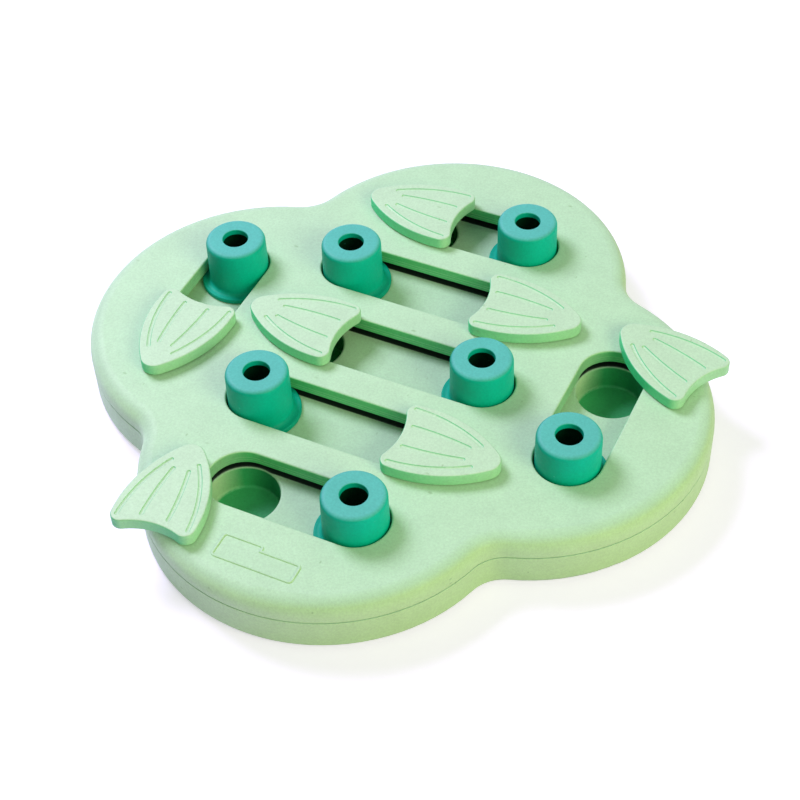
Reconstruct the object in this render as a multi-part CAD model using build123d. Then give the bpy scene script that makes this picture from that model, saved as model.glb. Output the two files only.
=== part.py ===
from build123d import *
import os
from math import atan2, cos, degrees, hypot, radians, sin, sqrt

# ---------------------------------------------------------------------------
# Dog puzzle feeder. Origin at the middle of the board on the floor, +Z up, +X along the five rows.
# All sizes in millimetres.
# ---------------------------------------------------------------------------

# Board outline: four equal round lobes with a hollow corner between each two
LOBE_RADIUS = 93.5
LOBE_OFFSET = 73.2          # board centre to lobe centre
NOTCH_RADIUS = 20.0         # hollow corner between two lobes
WALL = 3.2                  # side wall of both shells

# Heights, from the floor
FOOT_PROUD = 1.2            # rubber feet below the base
BOARD_HEIGHT = 30.2         # both shells together
TOP_WALL = 3.5
FLOOR_THICK = 2.0           # floor of the lower shell
TOP_ROUND = 8.0             # rounded shoulder of the board
BOTTOM_ROUND = 3.0

# Parting line and the tray's seat beside it
SEAT_DEPTH = 1.9            # tray's seat below the parting line
SEAT_WIDTH = 1.6
SEAT_CLEARANCE = 0.4        # tray's edge inside the walls
SEAM_GAP = 0.7              # height of the shadow groove along the parting line
SEAM_DEPTH = 1.3
SEAM_ROUND = 0.25           # broken edges on both sides of the groove

# Slots and the rails under them
SLOT_WIDTH = 34.0
LONG_SLOT = 98.4            # between the end centres of the three middle rows
SHORT_SLOT = 61.0           # between the end centres of the outer rows and the side slots
ROW_PITCH = 52.45
SIDE_SLOT_X = 107.4
LIP_DEPTH = 7.25            # thickness of the slot's lip, from the top face
SLOT_EDGE_ROUND = 1.1
RAIL_WALL = 1.8             # skirt that guides the knob's flange
RAIL_CLEARANCE = 0.5        # flange to skirt, each side
SKIRT_GAP = 0.4             # skirt above the deck

# Tray between the shells: its deck and treat wells
DECK_DEPTH = 11.8           # top face to deck
DECK_THICK = 2.2
WELL_RADIUS = 17.8
WELL_DEPTH = 14.4
WELL_WALL = 1.6
WELL_FLOOR_ROUND = 1.5
WELL_EDGE_ROUND = 1.4       # rounded mouth of a well

# Sliding knob
KNOB_RADIUS = 16.2          # at the flange
KNOB_TOP_RADIUS = 15.9
KNOB_PROUD = 17.15          # above the top face
KNOB_TOP_ROUND = 2.6
KNOB_TOP_WALL = 3.0
KNOB_WALL = 2.6
SCENT_HOLE_RADIUS = 6.75
SCENT_HOLE_ROUND = 0.6
FLANGE_RADIUS = 20.5
FLANGE_THICK = 2.4
FLANGE_ROUND = 0.8
FLARE_RADIUS = 2.4          # hollow curve from the flange into the knob
FLANGE_CLEARANCE = 0.3      # above the deck

# Flipper: nose circle, long side arcs, tail corners and a hollow tail edge
FLIPPER_LENGTH = 55.0       # nose to tail tips
FLIPPER_WIDTH = 43.0
FLIPPER_THICK = 6.1
FLIPPER_GAP = 0.9           # under the flipper
NOSE_RADIUS = 7.6
SIDE_RADIUS = 65.0
TAIL_CORNER = 5.2
TAIL_HOLLOW = 3.4           # depth of the hollow in the tail edge
FLIPPER_TOP_ROUND = 0.9
FLIPPER_SHELL = 2.6         # wall and top of the hollowed underside
GROOVE_RADIUS = 1.2         # round section of the grooves
GROOVE_DEPTH = 0.65
# groove ends from the nose: start distance, start offset, end distance, end offset, bulge
OUTER_GROOVE = (12.5, 7.1, 51.0, 18.1, 2.6)
INNER_GROOVE = (17.5, 4.0, 47.8, 6.8, 0.7)
PIVOT_FROM_NOSE = 5.5
PIVOT_REACH = 26.8          # pivot beyond the slot's end centre

# Pivot hardware
POST_RADIUS = 2.7
POST_CLEARANCE = 0.08       # running fit in the cover
PIVOT_BOSS_RADIUS = 6.0
PIVOT_BOSS_DEPTH = 5.2      # top face to the boss's lower face
WASHER_RADIUS = 4.4
WASHER_ROOM = 0.3           # round the washer, in the slot rails
WASHER_THICK = 0.9
WASHER_PLAY = 0.1           # between the boss and the washer
PIVOT_SCREW_RADIUS = 1.2
PIVOT_HEAD_RADIUS = 2.4
PIVOT_HEAD_HEIGHT = 1.6
PIVOT_HEAD_ROUND = 0.6
PIVOT_SCREW_LENGTH = 9.0

# Case screws
SCREW_RADIUS = 1.5
SCREW_HEAD_RADIUS = 2.9
SCREW_HEAD_HEIGHT = 2.2
SCREW_HEAD_ROUND = 0.8
SCREW_LENGTH = 11.5
SCREW_SEAT_THICK = 3.2      # top of the lower shell's bosses to the screws' seat
EDGE_SCREW_INSET = 16.7     # from the outermost point of a lobe
NOTCH_SCREW_INSET = 22.5    # from the innermost point of a notch
SCREW_TIP_ROOM = 1.0
THREAD_CLEARANCE = 0.05
THROUGH_CLEARANCE = 0.3
COVER_BOSS_RADIUS = 3.4
BASE_BOSS_RADIUS = 5.2
RECESS = 0.6                # cross recess: depth of each arm
RECESS_ARM = 0.5            # half the width of an arm
RECESS_REACH = 0.55         # half the length of an arm, as a share of the head's radius

# Feet
FOOT_RADIUS = 7.0
FOOT_THICK = 3.0
FOOT_ROUND = 0.8
FOOT_CLEARANCE = 0.1
FOOT_PAD_RADIUS = 9.0
FOOT_PAD_THICK = 1.6        # above the foot's pocket
FOOT_INSET = 21.5           # from the edge of a lobe
FOOT_TURN = 20.0            # degrees to each side of a lobe's middle

# Bare raised frame on the front lobe: a plate with a tab at its upper left
PANEL_LENGTH = 42.5
PANEL_WIDTH = 11.7
PANEL_AT = (-0.25, -145.85)
TAB_LENGTH = 21.7
TAB_RISE = 3.0
PANEL_CORNER = 2.2
PANEL_RAISE = 0.6
PANEL_RIM = 1.3
PANEL_ROUND = 0.5

# ---------------------------------------------------------------------------
# Values that follow from the sizes above
# ---------------------------------------------------------------------------
Z_BOTTOM = FOOT_PROUD
Z_TOP = Z_BOTTOM + BOARD_HEIGHT
Z_CEILING = Z_TOP - TOP_WALL
Z_LIP = Z_TOP - LIP_DEPTH
Z_DECK = Z_TOP - DECK_DEPTH
Z_DECK_UNDER = Z_DECK - DECK_THICK
Z_SEAM = Z_DECK_UNDER + SEAT_DEPTH
Z_WELL = Z_DECK - WELL_DEPTH
Z_FLANGE = Z_DECK + FLANGE_CLEARANCE
Z_KNOB = Z_TOP + KNOB_PROUD
Z_FLIPPER = Z_TOP + FLIPPER_GAP
Z_BOSS = Z_TOP - PIVOT_BOSS_DEPTH
Z_SCREW_SEAT = Z_DECK_UNDER - SCREW_SEAT_THICK
TRACK_HALF = FLANGE_RADIUS + RAIL_CLEARANCE
TRAY_INSET = WALL + SEAT_CLEARANCE
NOTCH_REACH = LOBE_RADIUS + NOTCH_RADIUS
# X and Y of a notch circle's centre: on the diagonal, one reach from both lobes' centres
NOTCH_AT = (LOBE_OFFSET + sqrt(2 * NOTCH_REACH**2 - LOBE_OFFSET**2)) / 2

# Each slot: middle, direction of the row, length, side of the well that the flipper covers (+1 or -1
# along the row) and the flipper's turn from closed as the toy stands
SLOTS = {
    "a": ((0, 2 * ROW_PITCH), 0, SHORT_SLOT, -1, -0.5),
    "b": ((0, ROW_PITCH), 0, LONG_SLOT, 1, 3.2),
    "c": ((0, 0), 0, LONG_SLOT, -1, -2.5),
    "d": ((0, -ROW_PITCH), 0, LONG_SLOT, 1, 2),
    "e": ((0, -2 * ROW_PITCH), 0, SHORT_SLOT, -1, -83.5),
    "f": ((-SIDE_SLOT_X, 0), 90, SHORT_SLOT, -1, -1),
    "g": ((SIDE_SLOT_X, 0), 90, SHORT_SLOT, 1, 66.5),
}

QUARTERS = (0, 90, 180, 270)


def along(spot, angle, distance):
    """The point a distance from a spot, in a direction given in degrees."""
    return (spot[0] + distance * cos(radians(angle)), spot[1] + distance * sin(radians(angle)))


def slot_ends(name):
    """The end centres of a slot: the covered well, then the knob's well."""
    middle, angle, length, side, _ = SLOTS[name]
    return (along(middle, angle, side * length / 2), along(middle, angle, -side * length / 2))


def closed_angle(name):
    """Direction from a flipper's pivot to its tail when it covers its well."""
    _, angle, _, side, _ = SLOTS[name]
    return angle + (180 if side > 0 else 0)


def pivot_spot(name):
    return along(slot_ends(name)[0], closed_angle(name), -PIVOT_REACH)


def screw_spots():
    """One screw in each lobe, one behind each notch and one between each two rows."""
    edge = LOBE_OFFSET + LOBE_RADIUS - EDGE_SCREW_INSET
    diagonal = NOTCH_AT * sqrt(2) - NOTCH_RADIUS - NOTCH_SCREW_INSET
    spots = [along((0, 0), turn, edge) for turn in QUARTERS]
    spots += [along((0, 0), turn + 45, diagonal) for turn in QUARTERS]
    return spots + [(0, ROW_PITCH * (row + 0.5)) for row in (-2, -1, 0, 1)]


def foot_spots():
    """Two feet in each lobe."""
    middles = [(turn, along((0, 0), turn, LOBE_OFFSET)) for turn in QUARTERS]
    radius = LOBE_RADIUS - FOOT_INSET
    return [along(spot, turn + side * FOOT_TURN, radius) for turn, spot in middles for side in (-1, 1)]


# ---------------------------------------------------------------------------
# Outlines
# ---------------------------------------------------------------------------
def arc(centre, radius, start, end):
    """An arc between two angles in degrees, through their mean."""
    points = [along(centre, angle, radius) for angle in (start, (start + end) / 2, end)]
    return ThreePointArc(*points)


def clover(inset=0.0):
    """The board's outline, moved inwards by inset."""
    lobe = LOBE_RADIUS - inset
    notch = NOTCH_RADIUS + inset
    half = degrees(atan2(NOTCH_AT, NOTCH_AT - LOBE_OFFSET))
    edges = []
    for turn in QUARTERS:
        lobe_centre = along((0, 0), turn, LOBE_OFFSET)
        notch_centre = along((0, 0), turn + 45, NOTCH_AT * sqrt(2))
        edges.append(arc(lobe_centre, lobe, turn - half, turn + half))
        edges.append(arc(notch_centre, notch, turn + half + 180, turn + 90 - half + 180))
    return make_face(edges)


def slot_shape(name, half_width):
    middle, angle, length, _, _ = SLOTS[name]
    return Pos(*middle) * Rot(0, 0, angle) * SlotCenterToCenter(length, 2 * half_width)


def flipper_outline(inset=0.0):
    """The flipper seen from above: pivot at the origin, tail towards +X."""
    nose_x = NOSE_RADIUS - PIVOT_FROM_NOSE
    corner = (FLIPPER_LENGTH - TAIL_CORNER - PIVOT_FROM_NOSE, FLIPPER_WIDTH / 2 - TAIL_CORNER)
    # the long side arc touches the nose circle and the corner circle from inside
    dx, dy = corner[0] - nose_x, corner[1]
    gap = hypot(dx, dy)
    to_nose, to_corner = SIDE_RADIUS - NOSE_RADIUS, SIDE_RADIUS - TAIL_CORNER
    along_gap = (gap**2 + to_nose**2 - to_corner**2) / (2 * gap)
    off_gap = sqrt(to_nose**2 - along_gap**2)
    side = (
        nose_x + (along_gap * dx + off_gap * dy) / gap,
        (along_gap * dy - off_gap * dx) / gap,
    )
    # the tail's hollow touches both corner circles from outside
    hollow_x = FLIPPER_LENGTH - TAIL_HOLLOW - PIVOT_FROM_NOSE
    step = hollow_x - corner[0]
    hollow = (TAIL_CORNER**2 - corner[1] ** 2 - step**2) / (2 * (step - TAIL_CORNER))
    tail = (hollow_x + hollow, 0)

    a_nose = degrees(atan2(-side[1], nose_x - side[0]))
    a_side = degrees(atan2(corner[1] - side[1], corner[0] - side[0]))
    a_corner = degrees(atan2(-corner[1], tail[0] - corner[0]))
    a_tail = a_corner + 180
    nose_r, side_r = NOSE_RADIUS - inset, SIDE_RADIUS - inset
    corner_r, hollow_r = TAIL_CORNER - inset, hollow + inset
    low_side, low_corner = (side[0], -side[1]), (corner[0], -corner[1])
    edges = [
        arc((nose_x, 0), nose_r, a_nose, 360 - a_nose),
        arc(low_side, side_r, -a_nose, -a_side),
        arc(low_corner, corner_r, -a_side, -a_corner),
        arc(tail, hollow_r, 360 - a_tail, a_tail),
        arc(corner, corner_r, a_corner, a_side),
        arc(side, side_r, a_side, a_nose),
    ]
    return make_face(edges)


# ---------------------------------------------------------------------------
# Solids
# ---------------------------------------------------------------------------
def slab(face, low, high):
    return Pos(0, 0, low) * extrude(face, high - low)


def disc(spot, radius, low, high):
    return Pos(spot[0], spot[1], low) * Cylinder(
        radius, high - low, align=(Align.CENTER, Align.CENTER, Align.MIN)
    )


def edges_at(solid, z):
    """Edges that lie flat at height z."""
    flat = [(e, e.bounding_box()) for e in solid.edges()]
    return ShapeList(e for e, box in flat if abs(box.min.Z - z) < 1e-4 and box.size.Z < 1e-4)


def outline_block(low, high):
    return slab(clover(), low, high)


def panel_shape(inset):
    corner = PANEL_CORNER - inset
    plate = RectangleRounded(PANEL_LENGTH - 2 * inset, PANEL_WIDTH - 2 * inset, corner)
    tab_height = PANEL_WIDTH / 2 + TAB_RISE
    tab = RectangleRounded(TAB_LENGTH - 2 * inset, tab_height - 2 * inset, corner)
    return plate + Pos((TAB_LENGTH - PANEL_LENGTH) / 2, tab_height / 2) * tab


def front_panel():
    frame = slab(panel_shape(0) - panel_shape(PANEL_RIM), Z_TOP - PANEL_RAISE, Z_TOP + PANEL_RAISE)
    return Pos(*PANEL_AT) * fillet(edges_at(frame, Z_TOP + PANEL_RAISE), PANEL_ROUND)


def top_cover():
    block = outline_block(Z_SEAM + SEAM_GAP, Z_TOP)
    block = fillet(edges_at(block, Z_TOP), TOP_ROUND)
    block = fillet(edges_at(block, Z_SEAM + SEAM_GAP), SEAM_ROUND)
    block += slab(clover(SEAM_DEPTH), Z_SEAM, Z_SEAM + SEAM_GAP)
    hollow = slab(clover(WALL), Z_SEAM, Z_CEILING)
    block -= fillet(edges_at(hollow, Z_CEILING), TOP_ROUND - WALL)
    room = slab(clover(WALL), Z_DECK, Z_TOP)
    # lip and skirt round each slot
    rails = [slab(slot_shape(n, TRACK_HALF + RAIL_WALL), Z_DECK + SKIRT_GAP, Z_CEILING) for n in SLOTS]
    bosses = [disc(pivot_spot(n), PIVOT_BOSS_RADIUS, Z_BOSS, Z_CEILING) for n in SLOTS]
    bosses += [disc(spot, COVER_BOSS_RADIUS, Z_DECK, Z_CEILING) for spot in screw_spots()]
    for piece in rails + bosses:
        block += piece & room
    tracks = [slab(slot_shape(n, TRACK_HALF), Z_DECK, Z_LIP) for n in SLOTS]
    slots = [slab(slot_shape(n, SLOT_WIDTH / 2), Z_DECK, Z_TOP) for n in SLOTS]
    block -= tracks + slots
    flat_top = clover(TOP_ROUND + SLOT_EDGE_ROUND)
    rims = [e for e in edges_at(block, Z_TOP) if flat_top.is_inside(Vector(e.center().X, e.center().Y))]
    block = fillet(rims, SLOT_EDGE_ROUND)
    pilot = SCREW_RADIUS + THREAD_CLEARANCE
    pilot_top = Z_SCREW_SEAT + SCREW_LENGTH + SCREW_TIP_ROOM
    holes = [disc(pivot_spot(n), POST_RADIUS + POST_CLEARANCE, Z_BOSS, Z_TOP) for n in SLOTS]
    holes += [disc(pivot_spot(n), WASHER_RADIUS + WASHER_ROOM, Z_DECK, Z_BOSS) for n in SLOTS]
    holes += [disc(spot, pilot, Z_DECK, pilot_top) for spot in screw_spots()]
    block -= holes
    return block + front_panel()


def well_tray():
    """Deck with the 14 treat wells, clamped between the two shells."""
    tray = slab(clover(TRAY_INSET), Z_DECK_UNDER, Z_DECK)
    wells = [spot for n in SLOTS for spot in slot_ends(n)]
    tray += [disc(spot, WELL_RADIUS + WELL_WALL, Z_WELL - WELL_WALL, Z_DECK) for spot in wells]
    cuts = [disc(spot, SCREW_RADIUS + THROUGH_CLEARANCE, Z_DECK_UNDER, Z_DECK) for spot in screw_spots()]
    for spot in wells:
        well = disc(spot, WELL_RADIUS, Z_WELL, Z_DECK)
        cuts.append(fillet(edges_at(well, Z_WELL), WELL_FLOOR_ROUND))
    tray -= cuts
    circles = edges_at(tray, Z_DECK).filter_by(GeomType.CIRCLE)
    mouths = [e for e in circles if abs(e.radius - WELL_RADIUS) < 0.01]
    return fillet(mouths, WELL_EDGE_ROUND)


def bottom_shell():
    """Lower outer shell with a closed floor, screw bosses and pockets for the feet."""
    block = outline_block(Z_BOTTOM, Z_SEAM)
    block = fillet(edges_at(block, Z_BOTTOM), BOTTOM_ROUND)
    block = fillet(edges_at(block, Z_SEAM), SEAM_ROUND)
    block -= slab(clover(TRAY_INSET), Z_DECK_UNDER, Z_SEAM)
    block -= slab(clover(TRAY_INSET + SEAT_WIDTH), Z_BOTTOM + FLOOR_THICK, Z_DECK_UNDER)
    block += [disc(spot, BASE_BOSS_RADIUS, Z_BOTTOM, Z_DECK_UNDER) for spot in screw_spots()]
    block += [disc(spot, FOOT_PAD_RADIUS, Z_BOTTOM, FOOT_THICK + FOOT_PAD_THICK) for spot in foot_spots()]
    cuts = [disc(spot, FOOT_RADIUS + FOOT_CLEARANCE, Z_BOTTOM, FOOT_THICK) for spot in foot_spots()]
    for spot in screw_spots():
        cuts.append(disc(spot, SCREW_RADIUS + THROUGH_CLEARANCE, Z_SCREW_SEAT, Z_DECK_UNDER))
        cuts.append(disc(spot, SCREW_HEAD_RADIUS + THROUGH_CLEARANCE, Z_BOTTOM, Z_SCREW_SEAT))
    return block - cuts


def slider(name):
    """Hollow knob with a scent hole, standing on a thin flange."""
    flange_top = Z_FLANGE + FLANGE_THICK
    body = disc((0, 0), FLANGE_RADIUS, Z_FLANGE, flange_top)
    body = fillet(edges_at(body, flange_top), FLANGE_ROUND)
    body += disc((0, 0), KNOB_RADIUS, Z_FLANGE, flange_top)
    height = Z_KNOB - flange_top
    body += Pos(0, 0, flange_top + height / 2) * Cone(KNOB_RADIUS, KNOB_TOP_RADIUS, height)
    root = [e for e in edges_at(body, flange_top) if abs(e.radius - KNOB_RADIUS) < 0.01]
    body = fillet(root, FLARE_RADIUS)
    body = fillet(edges_at(body, Z_KNOB), KNOB_TOP_ROUND)
    body -= disc((0, 0), KNOB_TOP_RADIUS - KNOB_WALL, Z_FLANGE, Z_KNOB - KNOB_TOP_WALL)
    body -= disc((0, 0), SCENT_HOLE_RADIUS, Z_FLANGE, Z_KNOB)
    mouth = [e for e in edges_at(body, Z_KNOB) if abs(e.radius - SCENT_HOLE_RADIUS) < 0.01]
    body = fillet(mouth, SCENT_HOLE_ROUND)
    x, y = slot_ends(name)[1]
    return Pos(x, y, 0) * body


def groove_cut(ends, side, top):
    """Cutter for one round-bottomed groove with round ends, bowed outwards."""
    start_x, start_y, end_x, end_y, bulge = ends
    first = (start_x - PIVOT_FROM_NOSE, side * start_y)
    last = (end_x - PIVOT_FROM_NOSE, side * end_y)
    length = hypot(last[0] - first[0], last[1] - first[1])
    normal = (-(last[1] - first[1]) / length * side, (last[0] - first[0]) / length * side)
    middle = (
        (first[0] + last[0]) / 2 + normal[0] * bulge,
        (first[1] + last[1]) / 2 + normal[1] * bulge,
    )
    line = ThreePointArc(first, middle, last)
    start = line.location_at(0)
    rod = sweep(start * Circle(GROOVE_RADIUS), path=line)
    tips = [Pos(*spot, 0) * Sphere(GROOVE_RADIUS) for spot in (first, last)]
    return Pos(0, 0, top + GROOVE_RADIUS - GROOVE_DEPTH) * (rod + tips)


def flipper(name):
    top = Z_FLIPPER + FLIPPER_THICK
    body = slab(flipper_outline(), Z_FLIPPER, top)
    body = fillet(edges_at(body, top), FLIPPER_TOP_ROUND)
    under = slab(flipper_outline(FLIPPER_SHELL), Z_FLIPPER, top - FLIPPER_SHELL)
    under -= disc((0, 0), POST_RADIUS + FLIPPER_SHELL, Z_FLIPPER, top)
    body -= under
    body -= [groove_cut(g, side, top) for g in (OUTER_GROOVE, INNER_GROOVE) for side in (1, -1)]
    post_end = Z_BOSS - WASHER_PLAY
    body += disc((0, 0), POST_RADIUS, post_end, Z_FLIPPER + FLIPPER_SHELL)
    bore_top = post_end - WASHER_THICK + PIVOT_SCREW_LENGTH + THREAD_CLEARANCE
    body -= disc((0, 0), PIVOT_SCREW_RADIUS + THREAD_CLEARANCE, post_end, bore_top)
    x, y = pivot_spot(name)
    return Pos(x, y, 0) * Rot(0, 0, closed_angle(name) + SLOTS[name][4]) * body


def pivot_washer(name):
    top = Z_BOSS - WASHER_PLAY
    ring = disc((0, 0), WASHER_RADIUS, top - WASHER_THICK, top)
    ring -= disc((0, 0), PIVOT_SCREW_RADIUS + THREAD_CLEARANCE, top - WASHER_THICK, top)
    x, y = pivot_spot(name)
    return Pos(x, y, 0) * ring


def screw(radius, length, head_radius, head_height, head_round, seat):
    """Pan-head screw with its head below the seat and a cross recess."""
    body = disc((0, 0), head_radius, seat - head_height, seat)
    body = fillet(edges_at(body, seat - head_height), head_round)
    body += disc((0, 0), radius, seat, seat + length)
    reach = 2 * RECESS_REACH * head_radius
    for turn in (0, 90):
        arm = Pos(0, 0, seat - head_height + RECESS / 2) * Box(reach, 2 * RECESS_ARM, RECESS)
        body -= Rot(0, 0, turn) * arm
    return body


def pivot_screw(name):
    seat = Z_BOSS - WASHER_PLAY - WASHER_THICK
    head = (PIVOT_HEAD_RADIUS, PIVOT_HEAD_HEIGHT, PIVOT_HEAD_ROUND)
    x, y = pivot_spot(name)
    return Pos(x, y, 0) * screw(PIVOT_SCREW_RADIUS, PIVOT_SCREW_LENGTH, *head, seat)


def case_screws():
    head = (SCREW_HEAD_RADIUS, SCREW_HEAD_HEIGHT, SCREW_HEAD_ROUND)
    one = screw(SCREW_RADIUS, SCREW_LENGTH, *head, Z_SCREW_SEAT)
    return Compound(children=[Pos(x, y, 0) * one for x, y in screw_spots()])


def rubber_feet():
    one = disc((0, 0), FOOT_RADIUS, 0, FOOT_THICK)
    one = fillet(edges_at(one, 0), FOOT_ROUND)
    return Compound(children=[Pos(x, y, 0) * one for x, y in foot_spots()])


def save(name, shape):
    export_step(shape, f"parts/{name}.step")


os.makedirs("parts", exist_ok=True)
save("top_cover", top_cover())
save("well_tray", well_tray())
save("bottom_shell", bottom_shell())
save("case_screws", case_screws())
save("rubber_feet", rubber_feet())
for letter in SLOTS:
    save(f"slider_{letter}", slider(letter))
    save(f"flipper_{letter}", flipper(letter))
    save(f"pivot_washer_{letter}", pivot_washer(letter))
    save(f"pivot_screw_{letter}", pivot_screw(letter))
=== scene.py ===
"""Finishes, studio and camera for the dog puzzle feeder. Lengths are in metres, +Z is up."""

import math

import bmesh
import bpy
from mathutils import Matrix, Vector


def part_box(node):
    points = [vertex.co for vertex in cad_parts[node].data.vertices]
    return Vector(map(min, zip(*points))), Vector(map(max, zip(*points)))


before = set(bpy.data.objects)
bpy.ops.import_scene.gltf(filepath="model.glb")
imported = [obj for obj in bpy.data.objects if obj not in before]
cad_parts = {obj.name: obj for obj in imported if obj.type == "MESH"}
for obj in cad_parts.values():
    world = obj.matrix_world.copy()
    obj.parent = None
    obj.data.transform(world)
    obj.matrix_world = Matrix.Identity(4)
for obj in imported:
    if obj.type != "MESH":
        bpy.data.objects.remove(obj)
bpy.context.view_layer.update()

SLOT_LETTERS = "abcdefg"

# Camera, in degrees and metres
CAMERA_AZIMUTH = 27.243
CAMERA_ELEVATION = 46.302
CAMERA_ROLL = -2.651
CAMERA_DISTANCE = 0.82033
CAMERA_TARGET = (0.02443, -0.04225, 0.04855)
CAMERA_LENS_PIXELS = 1697.0
PICTURE_WIDTH = 800
SENSOR_WIDTH = 36.0

# Lamps: place, power in watts, size and tint
KEY_LAMP = ((-0.95, 0.35, 1.15), 19.5, 0.6, (0.82, 0.79, 1.0))
FILL_LAMP = ((1.1, -0.45, 0.75), 8.6, 0.7, (0.9, 1.0, 0.58))
LAMP_AIM = (0, 0, 0.02)
WORLD_LIGHT = (0.24, 0.31, 0.23)

# Floor: half its side, its tint, and its glow as distance from the middle and strength
FLOOR_REACH = 12.0
FLOOR_TINT = (0.78, 0.65, 0.92, 1)
GLOW_NEAR = (0.35, 0.5)
GLOW_FAR = (1.1, 1.0)

# Colours as they are seen, red, green and blue from 0 to 255
# Board: one composite, with light and shade painted in as a top tone and a tone for walls facing each side
BOARD_TOP = (196, 226, 196)
BOARD_LEFT = (203, 236, 201)
BOARD_RIGHT = (200, 228, 174)
# Slot walls: painted recess shade, and painted light where a wall faces right. The streak tone marks the wall
# itself
SLOT_WALL_SHADED = (98, 202, 130)
SLOT_WALL_RIGHT_LIT = (158, 208, 162)
SLOT_STREAK = (176, 224, 184)
SLOT_SHADE = (6, 30, 18)
DECK_TOP = (190, 222, 192)
# Wells: painted recess shade, a painted shadow on walls that face left and painted light on walls that face
# right
WELL_SHADED = (70, 186, 124)
WELL_WALL_LEFT_SHADOW = (20, 126, 84)
WELL_WALL_RIGHT_LIT = (224, 244, 205)
# Flippers: light and shade painted in as a top tone and a tone for walls facing each side
FLIPPER_TOP = (201, 227, 200)
FLIPPER_LEFT = (58, 208, 140)
FLIPPER_RIGHT = (178, 228, 182)
# Knobs: light and shade painted in as a top tone and a tone for walls facing each side
KNOB_TOP = (98, 192, 190)
KNOB_LEFT = (0, 156, 130)
KNOB_RIGHT = (0, 196, 176)
# Painted recess shade on a knob's flange and in its hollow
KNOB_FLANGE_SHADED = (0, 172, 150)
KNOB_HOLLOW_SHADE = (8, 86, 60)
FLECK = (128, 168, 112)
KNOB_FLECK = (90, 205, 200)
FOOT_COLOUR = (58, 60, 60)
FOOT_DUST = (74, 76, 76)
STEEL_COLOUR = (196, 198, 200)
STEEL_SCRATCH = (170, 172, 176)

# Grain of the composite: patterns per metre, then the depth of the two bumps
CLOUD_SCALE = 70
STREAK_SCALE = 90
SKIN_SCALE = 260
ROUGHNESS_SCALE = 420
GRAIN_SCALE = 850
PORE_SCALE = 1900
SKIN_DEPTH = 0.0002
PORE_DEPTH = 0.00006

# Flecks: how strong, then each layer's patterns per metre, stretch, turn and share of the ground left bare
FLECK_STRENGTH = 0.45
FLECK_LAYERS = ((520, (1, 0.55, 1), 0.5, 0.9), (380, (0.5, 1, 1), -0.35, 0.93))

# Sizes in the model
PANEL_RAISE = 0.0006            # the cover's highest point over its top face
LIP_DEPTH = 0.00725             # top face to the underside of a slot's lip
WALL_LINE_DEPTHS = (0.0054, 0.0039)     # top face to the pale lines along a slot's wall
SEAM_GAP = 0.0007               # height of the groove along the parting line
FLANGE_THICK = 0.0024
KNOB_TOP_WALL = 0.003
KNOB_BORE = 0.0133              # radius of a knob's hollow under its top
SLOT_HALF_WIDTH = 0.017
SHADE_REACH = 0.026             # from a slot's middle line to the end of the shade under its lip
SIDE_SLOT_REACH = 0.0264        # from a side slot's middle line to the end of its own shade rule

# Heights, from the frame
TOP_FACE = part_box("top_cover")[1].z - PANEL_RAISE
LIP_HEIGHT = TOP_FACE - LIP_DEPTH
SEAM_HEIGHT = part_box("top_cover")[0].z + SEAM_GAP
DECK_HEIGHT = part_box("well_tray")[1].z
FLANGE_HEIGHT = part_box("slider_a")[0].z + FLANGE_THICK
KNOB_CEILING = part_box("slider_a")[1].z - KNOB_TOP_WALL


def middle_in_plan(node):
    """Middle of a node's box, seen from above."""
    low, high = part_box(node)
    return (low + high).xy / 2


# Each knob rests at one end of its slot, so its middle gives the slot's distance from the board's middle line
# and half the length between the slot's end centres
KNOB_MIDDLES = {letter: middle_in_plan(f"slider_{letter}") for letter in SLOT_LETTERS}
SLOT_ROWS = [(abs(KNOB_MIDDLES[letter].y), abs(KNOB_MIDDLES[letter].x)) for letter in "cba"]
SIDE_SLOT = (abs(KNOB_MIDDLES["g"].x), abs(KNOB_MIDDLES["g"].y))


def linear(colour):
    """A seen colour as the renderer's linear colour."""
    values = [channel / 255 for channel in colour]
    return [v / 12.92 if v <= 0.04045 else ((v + 0.055) / 1.055) ** 2.4 for v in values] + [1.0]


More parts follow.
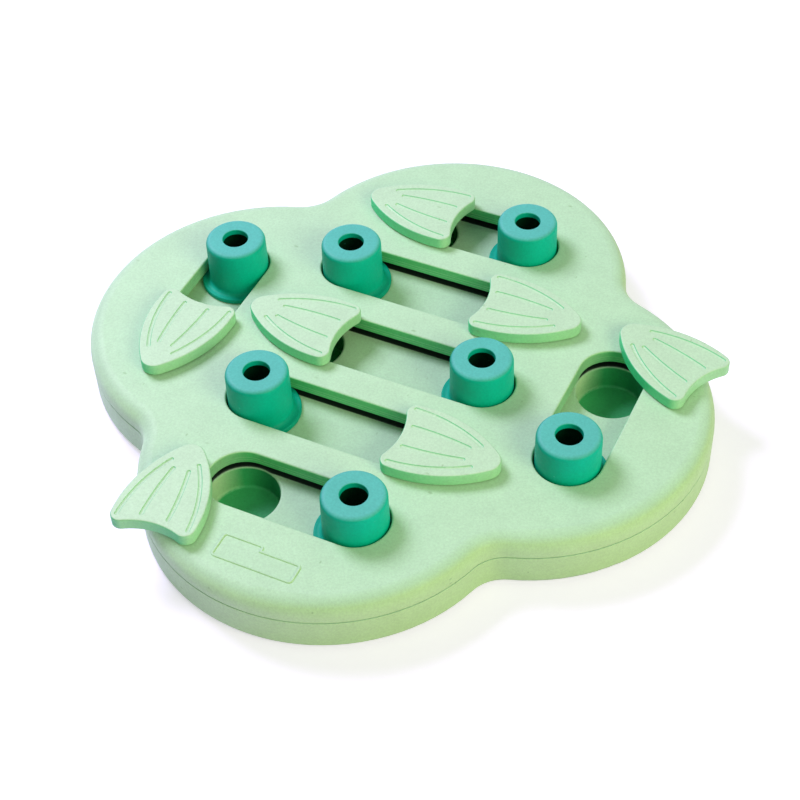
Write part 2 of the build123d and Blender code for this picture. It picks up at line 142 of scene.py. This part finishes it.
# ---------------------------------------------------------------------------
# Materials
# ---------------------------------------------------------------------------
class Recipe:
    """A material's node tree, with short calls to add and join nodes."""

    def __init__(self, name):
        self.material = bpy.data.materials.new(name)
        self.material.use_nodes = True
        self.tree = self.material.node_tree
        self.tree.nodes.clear()
        self.shader = self.tree.nodes.new("ShaderNodeBsdfPrincipled")
        self.surface = self.tree.nodes.new("ShaderNodeOutputMaterial").inputs["Surface"]
        self.join(self.shader.outputs["BSDF"], self.surface)
        self.place = self.tree.nodes.new("ShaderNodeTexCoord").outputs["Object"]

    def join(self, source, target):
        self.tree.links.new(source, target)

    def fill(self, socket, value):
        """Sets a socket to a plain value, or joins it to another node's output."""
        if isinstance(value, (int, float, list, tuple)):
            socket.default_value = value
        else:
            self.join(value, socket)

    def stretched(self, scale, turn=0.0):
        """Object coordinates, stretched and turned about Z."""
        mapping = self.tree.nodes.new("ShaderNodeMapping")
        mapping.inputs["Scale"].default_value = scale
        mapping.inputs["Rotation"].default_value = (0, 0, turn)
        self.join(self.place, mapping.inputs["Vector"])
        return mapping.outputs["Vector"]

    def noise(self, scale, detail=2.0, roughness=0.5, where=None):
        noise = self.tree.nodes.new("ShaderNodeTexNoise")
        noise.inputs["Scale"].default_value = scale
        noise.inputs["Detail"].default_value = detail
        noise.inputs["Roughness"].default_value = roughness
        self.join(where or self.place, noise.inputs["Vector"])
        return noise.outputs["Fac"]

    def cells(self, scale, where):
        """Voronoi cells: the distance from each cell's middle, and a random colour per cell."""
        cells = self.tree.nodes.new("ShaderNodeTexVoronoi")
        cells.inputs["Scale"].default_value = scale
        self.join(where, cells.inputs["Vector"])
        return cells.outputs["Distance"], cells.outputs["Color"]

    def span(self, value, low, high, new_low=0.0, new_high=1.0):
        """A value's range moved to another range, and held there."""
        node = self.tree.nodes.new("ShaderNodeMapRange")
        ends = {"From Min": low, "From Max": high, "To Min": new_low, "To Max": new_high}
        for name, number in ends.items():
            node.inputs[name].default_value = number
        self.join(value, node.inputs["Value"])
        return node.outputs["Result"]

    def below(self, value, level, fade):
        """One under a level and zero over it, with a fade between."""
        return self.span(value, level + fade / 2, level - fade / 2)

    def above(self, value, level, fade):
        """One over a level and zero under it, with a fade between."""
        return self.span(value, level - fade / 2, level + fade / 2)

    def maths(self, operation, first, second=0.0):
        node = self.tree.nodes.new("ShaderNodeMath")
        node.operation = operation
        self.fill(node.inputs[0], first)
        self.fill(node.inputs[1], second)
        return node.outputs["Value"]

    def both(self, first, second):
        """The share of a surface that two masks have in common."""
        return self.maths("MULTIPLY", first, second)

    def least(self, values):
        """The smallest of several values."""
        smallest = values[0]
        for value in values[1:]:
            smallest = self.maths("MINIMUM", smallest, value)
        return smallest

    def mix(self, factor, first, second, blend="MIX"):
        node = self.tree.nodes.new("ShaderNodeMix")
        node.data_type = "RGBA"
        node.blend_type = blend
        factor_socket, first_socket, second_socket = (node.inputs[number] for number in (0, 6, 7))
        self.fill(factor_socket, factor)
        self.fill(first_socket, first)
        self.fill(second_socket, second)
        return node.outputs[2]

    def axes(self, vector):
        split = self.tree.nodes.new("ShaderNodeSeparateXYZ")
        self.join(vector, split.inputs["Vector"])
        return split.outputs["X"], split.outputs["Y"], split.outputs["Z"]

    def height(self):
        return self.axes(self.place)[2]

    def facing(self):
        """X, Y and Z parts of the direction that a face looks in."""
        return self.axes(self.tree.nodes.new("ShaderNodeNewGeometry").outputs["Normal"])

    def reach(self, across, along):
        """Length of a flat step given by its two parts."""
        squares = [self.maths("MULTIPLY", part, part) for part in (across, along)]
        return self.maths("SQRT", self.maths("ADD", *squares))

    def from_middle_lines(self):
        """Distances from the board's two middle lines."""
        x, y, _ = self.axes(self.place)
        return self.maths("ABSOLUTE", x), self.maths("ABSOLUTE", y)

    def slot_distance(self):
        """Distance from the middle line of the nearest slot, in plan."""
        x, y = self.from_middle_lines()
        slots = [(y, x, row) for row in SLOT_ROWS] + [(x, y, SIDE_SLOT)]
        steps = []
        for across, along, (offset, half_length) in slots:
            beyond = self.maths("MAXIMUM", self.maths("SUBTRACT", along, half_length), 0.0)
            steps.append(self.reach(self.maths("SUBTRACT", across, offset), beyond))
        return self.least(steps)

    def slot_shade(self, mask):
        """A mask of dark shade, left out along the straight walls of the two side slots."""
        x, y = self.from_middle_lines()
        outward = self.above(x, SIDE_SLOT[0] - SIDE_SLOT_REACH, fade=0.002)
        straight = self.below(y, SIDE_SLOT[1] + 0.001, fade=0.006)
        return self.both(mask, self.maths("SUBTRACT", 1.0, self.both(outward, straight)))

    def knob_bore(self):
        """One inside the hollow knobs as they stand at rest, else zero."""
        x, y, _ = self.axes(self.place)
        steps = [
            self.reach(self.maths("SUBTRACT", x, middle.x), self.maths("SUBTRACT", y, middle.y))
            for middle in KNOB_MIDDLES.values()
        ]
        return self.below(self.least(steps), KNOB_BORE + 0.0003, fade=0.0002)

    def bump(self, height, distance, strength, under=None):
        node = self.tree.nodes.new("ShaderNodeBump")
        node.inputs["Strength"].default_value = strength
        node.inputs["Distance"].default_value = distance
        self.join(height, node.inputs["Height"])
        if under is not None:
            self.join(under, node.inputs["Normal"])
        return node.outputs["Normal"]

    def finish(self, colour=None, normal=None, **values):
        """Gives the shader its colour and bumps, and its other sockets by name."""
        if colour is not None:
            self.fill(self.shader.inputs["Base Color"], colour)
        if normal is not None:
            self.join(normal, self.shader.inputs["Normal"])
        for name, value in values.items():
            self.fill(self.shader.inputs[name.replace("_", " ")], value)
        return self.material


def composite_skin(recipe, ground, fleck, roughness):
    """Mottled grain, flecks and pores of the moulded composite over a ground colour."""
    cloud = recipe.span(recipe.noise(CLOUD_SCALE, 4, 0.6), 0.32, 0.68, 0.97, 1.03)
    grain = recipe.span(recipe.noise(GRAIN_SCALE, 3, 0.75), 0.34, 0.66, 0.93, 1.07)
    mottled = recipe.mix(1.0, ground, recipe.maths("MULTIPLY", cloud, grain), "MULTIPLY")
    for scale, stretch, turn, bare_share in FLECK_LAYERS:
        distance, chance = recipe.cells(scale, recipe.stretched(stretch, turn))
        chosen = recipe.span(chance, bare_share, bare_share + 0.03)
        speck = recipe.both(recipe.span(distance, 0.32, 0.14), chosen)
        mottled = recipe.mix(recipe.maths("MULTIPLY", speck, FLECK_STRENGTH), mottled, linear(fleck))
    pores = recipe.bump(recipe.noise(PORE_SCALE, 2), PORE_DEPTH, 0.7)
    skin = recipe.bump(recipe.noise(SKIN_SCALE, 3), SKIN_DEPTH, 0.4, pores)
    rough = recipe.span(recipe.noise(ROUGHNESS_SCALE, 2), 0.3, 0.7, roughness - 0.05, roughness + 0.05)
    return recipe.finish(mottled, skin, Roughness=rough)


def painted_facing_light_and_shade(recipe, top, left, right, low=0.6, high=0.87):
    """A ground colour with painted light and shade: one tone on faces that look up, and two on walls, by the
    side that they face.
    """
    x, _, z = recipe.facing()
    wall = recipe.mix(recipe.span(x, -0.6, 0.7), linear(left), linear(right))
    return recipe.mix(recipe.span(z, low, high), wall, linear(top))


def slot_wall_shade_and_streaks(recipe):
    """Tone of a slot's wall with painted recess shade and light by its direction, with pale streaks and two
    pale lines along it.
    """
    across, _, _ = recipe.facing()
    drawn_out = recipe.stretched((1, 1, 14))
    streaks = recipe.span(recipe.noise(STREAK_SCALE, 4, 0.7, drawn_out), 0.56, 0.72, 0.0, 0.45)
    # Painted recess shade, turned to painted light on walls that face right
    tone = recipe.mix(recipe.span(across, 0.3, 0.95), linear(SLOT_WALL_SHADED), linear(SLOT_WALL_RIGHT_LIT))
    tone = recipe.mix(streaks, tone, linear(SLOT_STREAK))
    for depth in WALL_LINE_DEPTHS:
        away = recipe.maths("ABSOLUTE", recipe.maths("SUBTRACT", recipe.height(), TOP_FACE - depth))
        line = recipe.maths("MULTIPLY", recipe.span(away, 0.00028, 0.0001), 0.5)
        tone = recipe.mix(line, tone, linear(SLOT_STREAK))
    return tone


def cover_composite():
    recipe = Recipe("cover_composite")
    distance = recipe.slot_distance()
    height = recipe.height()
    up = recipe.facing()[2]
    in_slot = recipe.below(distance, SLOT_HALF_WIDTH + 0.0007, fade=0.0006)
    wall = recipe.both(in_slot, recipe.span(up, 0.85, 0.35))
    ground = recipe.mix(wall, painted_facing_light_and_shade(recipe, BOARD_TOP, BOARD_LEFT, BOARD_RIGHT), slot_wall_shade_and_streaks(recipe))
    # Painted shade: near-black under the slots' lips and in the groove along the parting line
    near_slot = recipe.below(distance, SHADE_REACH, fade=0.0004)
    under_lip_shade = recipe.both(near_slot, recipe.below(height, LIP_HEIGHT + 0.00005, fade=0.0002))
    groove = recipe.below(height, SEAM_HEIGHT - 0.00015, fade=0.0001)
    shade = recipe.maths("MAXIMUM", recipe.slot_shade(under_lip_shade), groove)
    ground = recipe.mix(shade, ground, linear(SLOT_SHADE))
    return composite_skin(recipe, ground, FLECK, roughness=0.55)


def tray_composite():
    recipe = Recipe("tray_composite")
    height = recipe.height()
    across, along, _ = recipe.facing()
    # Painted light and shade in the wells, by the side that a face looks to
    turned = recipe.maths("ADD", across, recipe.maths("MULTIPLY", along, 0.6))
    well_light_and_shade = recipe.mix(recipe.span(turned, -0.9, -0.1), linear(WELL_WALL_LEFT_SHADOW), linear(WELL_SHADED))
    well_light_and_shade = recipe.mix(recipe.span(turned, 0.0, 0.9), well_light_and_shade, linear(WELL_WALL_RIGHT_LIT))
    in_well = recipe.below(height, DECK_HEIGHT - 0.001, fade=0.0008)
    ground = recipe.mix(in_well, linear(DECK_TOP), well_light_and_shade)
    # Painted shade: near-black on the deck where it runs on under the slots' lips
    beside_slot = recipe.above(recipe.slot_distance(), SLOT_HALF_WIDTH + 0.0004, fade=0.0006)
    covered_deck_shade = recipe.both(beside_slot, recipe.above(height, DECK_HEIGHT - 0.0004, fade=0.0004))
    ground = recipe.mix(recipe.slot_shade(covered_deck_shade), ground, linear(SLOT_SHADE))
    return composite_skin(recipe, ground, FLECK, roughness=0.6)


def shell_composite():
    recipe = Recipe("shell_composite")
    ground = painted_facing_light_and_shade(recipe, BOARD_TOP, BOARD_LEFT, BOARD_RIGHT)
    return composite_skin(recipe, ground, FLECK, roughness=0.55)


def flipper_composite():
    recipe = Recipe("flipper_composite")
    ground = painted_facing_light_and_shade(recipe, FLIPPER_TOP, FLIPPER_LEFT, FLIPPER_RIGHT)
    return composite_skin(recipe, ground, FLECK, roughness=0.5)


def knob_composite():
    recipe = Recipe("knob_composite")
    height = recipe.height()
    ground = painted_facing_light_and_shade(recipe, KNOB_TOP, KNOB_LEFT, KNOB_RIGHT, low=0.5, high=0.93)
    # Painted recess shade: the flange low in the slot is kept darker than the top's painted light
    flange = recipe.below(height, FLANGE_HEIGHT + 0.0014, fade=0.0016)
    ground = recipe.mix(flange, ground, linear(KNOB_FLANGE_SHADED))
    # Painted shade inside the hollow knobs
    inside = recipe.both(recipe.below(height, KNOB_CEILING, fade=0.0001), recipe.knob_bore())
    ground = recipe.mix(inside, ground, linear(KNOB_HOLLOW_SHADE))
    recipe.finish(Specular_IOR_Level=0.15)
    return composite_skin(recipe, ground, KNOB_FLECK, roughness=0.5)


def foot_rubber():
    recipe = Recipe("foot_rubber")
    dust = recipe.span(recipe.noise(240, 3), 0.3, 0.7)
    colour = recipe.mix(dust, linear(FOOT_COLOUR), linear(FOOT_DUST))
    return recipe.finish(colour, recipe.bump(recipe.noise(900, 3), 0.0001, 0.6), Roughness=0.82)


def zinc_steel():
    recipe = Recipe("zinc_steel")
    scratches = recipe.noise(700, 3, 0.6, recipe.stretched((1, 6, 1), 0.3))
    colour = recipe.mix(recipe.span(scratches, 0.3, 0.7), linear(STEEL_COLOUR), linear(STEEL_SCRATCH))
    rough = recipe.span(scratches, 0.3, 0.7, 0.26, 0.42)
    return recipe.finish(colour, recipe.bump(scratches, 0.00003, 0.5), Metallic=1.0, Roughness=rough)


def dress(nodes, material):
    for node in nodes:
        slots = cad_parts[node].data.materials
        slots.clear()
        slots.append(material)


def finish_surfaces():
    steel = zinc_steel()
    dress(["top_cover"], cover_composite())
    dress(["well_tray"], tray_composite())
    dress(["bottom_shell"], shell_composite())
    dress([f"flipper_{letter}" for letter in SLOT_LETTERS], flipper_composite())
    dress([f"slider_{letter}" for letter in SLOT_LETTERS], knob_composite())
    dress(["rubber_feet"], foot_rubber())
    dress(["case_screws"], steel)
    dress([f"pivot_{part}_{letter}" for part in ("washer", "screw") for letter in SLOT_LETTERS], steel)


# ---------------------------------------------------------------------------
# Studio
# ---------------------------------------------------------------------------
def floor_white():
    """A matt floor that catches the toy's shadow and is seen as white."""
    recipe = Recipe("studio_white")
    recipe.finish(FLOOR_TINT, Roughness=1.0, Specular_IOR_Level=0.0)
    nodes = recipe.tree.nodes
    rays = nodes.new("ShaderNodeLightPath")
    seen = recipe.maths("MAXIMUM", rays.outputs["Is Camera Ray"], rays.outputs["Is Glossy Ray"])
    x, y, _ = recipe.axes(recipe.place)
    strength = recipe.span(recipe.reach(x, y), GLOW_NEAR[0], GLOW_FAR[0], GLOW_NEAR[1], GLOW_FAR[1])
    glow = nodes.new("ShaderNodeEmission")
    glow.inputs["Color"].default_value = (1, 1, 1, 1)
    recipe.join(recipe.maths("MULTIPLY", seen, strength), glow.inputs["Strength"])
    matt_and_glow = nodes.new("ShaderNodeAddShader")
    recipe.join(recipe.shader.outputs["BSDF"], matt_and_glow.inputs[0])
    recipe.join(glow.outputs["Emission"], matt_and_glow.inputs[1])
    recipe.join(matt_and_glow.outputs["Shader"], recipe.surface)
    return recipe.material


def studio_floor():
    mesh = bpy.data.meshes.new("studio_floor")
    grid = bmesh.new()
    bmesh.ops.create_grid(grid, x_segments=1, y_segments=1, size=FLOOR_REACH)
    grid.to_mesh(mesh)
    grid.free()
    mesh.materials.append(floor_white())
    floor = bpy.data.objects.new("studio_floor", mesh)
    bpy.context.scene.collection.objects.link(floor)


def white_world():
    """Even light from all round, seen as plain white."""
    world = bpy.data.worlds.new("studio_world")
    bpy.context.scene.world = world
    world.use_nodes = True
    nodes, links = world.node_tree.nodes, world.node_tree.links
    nodes.clear()
    rays = nodes.new("ShaderNodeLightPath")
    seen = nodes.new("ShaderNodeMath")
    seen.operation = "MAXIMUM"
    links.new(rays.outputs["Is Camera Ray"], seen.inputs[0])
    links.new(rays.outputs["Is Glossy Ray"], seen.inputs[1])
    choice = nodes.new("ShaderNodeMixShader")
    links.new(seen.outputs[0], choice.inputs[0])
    for socket, colour in ((1, WORLD_LIGHT), (2, (1, 1, 1))):
        background = nodes.new("ShaderNodeBackground")
        background.inputs["Color"].default_value = (*colour, 1)
        links.new(background.outputs["Background"], choice.inputs[socket])
    output = nodes.new("ShaderNodeOutputWorld")
    links.new(choice.outputs["Shader"], output.inputs["Surface"])


def soft_lamp(name, place, power, size, tint):
    lamp = bpy.data.lights.new(name, "AREA")
    lamp.energy = power
    lamp.size = size
    lamp.color = tint
    holder = bpy.data.objects.new(name, lamp)
    bpy.context.scene.collection.objects.link(holder)
    holder.location = place
    holder.rotation_mode = "QUATERNION"
    holder.rotation_quaternion = (Vector(LAMP_AIM) - Vector(place)).to_track_quat("-Z", "Y")


def make_camera():
    azimuth = math.radians(CAMERA_AZIMUTH)
    elevation = math.radians(CAMERA_ELEVATION)
    roll = math.radians(CAMERA_ROLL)
    flat = math.cos(elevation)
    ahead = Vector((-math.sin(azimuth) * flat, math.cos(azimuth) * flat, -math.sin(elevation)))
    level_right = Vector((math.cos(azimuth), math.sin(azimuth), 0))
    level_up = level_right.cross(ahead)
    right = level_right * math.cos(roll) + level_up * math.sin(roll)
    up = level_up * math.cos(roll) - level_right * math.sin(roll)
    lens = bpy.data.cameras.new("camera")
    lens.sensor_width = SENSOR_WIDTH
    lens.lens = CAMERA_LENS_PIXELS / PICTURE_WIDTH * SENSOR_WIDTH
    camera = bpy.data.objects.new("camera", lens)
    bpy.context.scene.collection.objects.link(camera)
    camera.rotation_mode = "QUATERNION"
    camera.rotation_quaternion = Matrix((right, up, -ahead)).transposed().to_quaternion()
    camera.location = Vector(CAMERA_TARGET) - ahead * CAMERA_DISTANCE
    bpy.context.scene.camera = camera


bpy.context.scene.view_settings.view_transform = "Standard"
make_camera()
studio_floor()
white_world()
soft_lamp("key", *KEY_LAMP)
soft_lamp("fill", *FILL_LAMP)
finish_surfaces()
